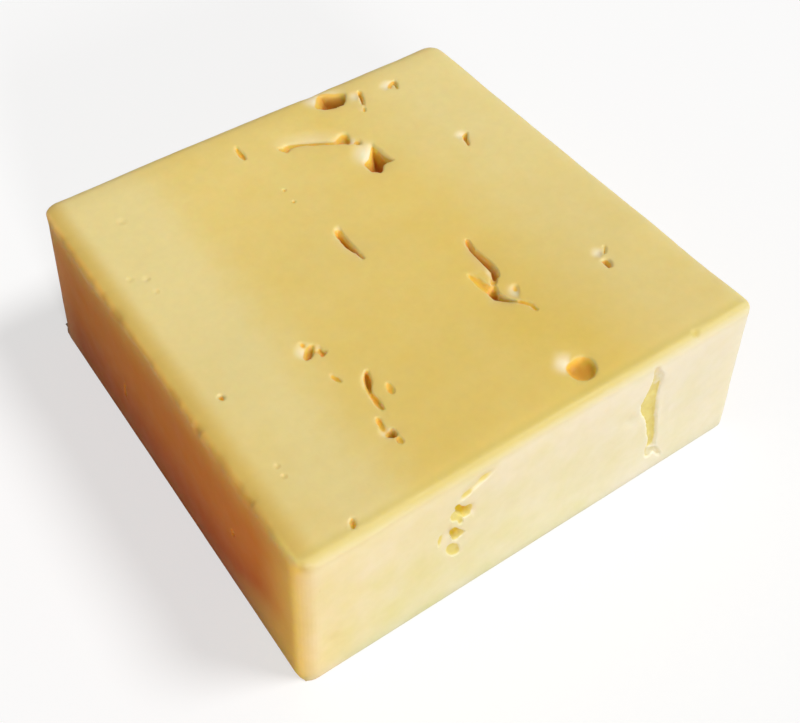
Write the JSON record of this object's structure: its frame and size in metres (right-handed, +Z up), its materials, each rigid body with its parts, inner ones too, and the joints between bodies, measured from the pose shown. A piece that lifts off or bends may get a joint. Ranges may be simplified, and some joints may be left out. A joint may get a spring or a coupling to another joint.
{
  "type": "gouda",
  "caption": "Square cut block of young gouda with softly rounded edges, a round eye, torn pits and thin slits.",
  "frame": {"origin": "bottom centre of the block", "axes": "+Z up out of the top cut, +Y along the longer way from front to back, +X along the front to the right"},
  "size_m": [0.1113, 0.1148, 0.0376],
  "materials": {
    "cheese": "young gouda paste, cut with a knife: cream to golden yellow, slightly greasy, translucent, a little more orange inside its openings"
  },
  "bodies": {
    "root": {"gouda_block": "cheese"}
  },
  "joints": []
}
